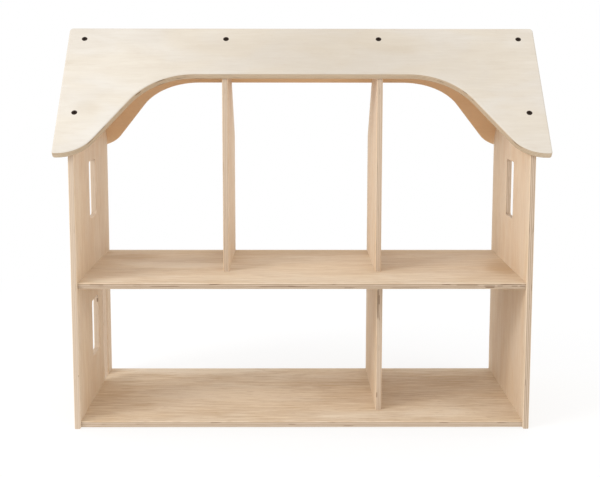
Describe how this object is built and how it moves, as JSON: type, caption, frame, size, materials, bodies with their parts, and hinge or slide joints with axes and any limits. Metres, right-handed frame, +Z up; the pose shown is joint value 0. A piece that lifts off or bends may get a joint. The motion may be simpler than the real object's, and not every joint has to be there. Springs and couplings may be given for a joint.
{
  "type": "wooden dollhouse",
  "caption": "Open plywood dollhouse with gabled side walls, floors, partitions and two sloping roof panels with wide arched cut-outs, held by black countersunk screws.",
  "frame": {"origin": "on the ground, under the middle of the whole house with its roof", "axes": "+X to the right along the ridge, +Y from the front opening to the back opening, +Z up"},
  "size_m": [0.721, 0.3684, 0.5948],
  "materials": {
    "wall_ply": "bare, sanded birch plywood",
    "floor_ply": "bare, sanded birch plywood",
    "partition_ply": "bare, sanded birch plywood",
    "roof_ply": "bare, sanded pale plywood",
    "black_screw": "black phosphate",
    "dowel_beech": "fluted beech"
  },
  "bodies": {
    "root": {"left_side_wall": "wall_ply", "right_side_wall": "wall_ply", "lower_floor": "floor_ply", "upper_floor": "floor_ply", "lower_partition": "partition_ply", "upper_left_partition": "partition_ply", "upper_right_partition": "partition_ply", "front_roof_panel": "roof_ply", "back_roof_panel": "roof_ply", "front_roof_wall_screws": "black_screw", "front_roof_partition_screws": "black_screw", "back_roof_wall_screws": "black_screw", "back_roof_partition_screws": "black_screw", "left_wall_lower_floor_screws": "black_screw", "left_wall_upper_floor_screws": "black_screw", "right_wall_lower_floor_screws": "black_screw", "right_wall_upper_floor_screws": "black_screw", "lower_partition_screws": "black_screw", "upper_left_partition_screws": "black_screw", "upper_right_partition_screws": "black_screw", "lower_partition_dowels": "dowel_beech"}
  },
  "joints": []
}
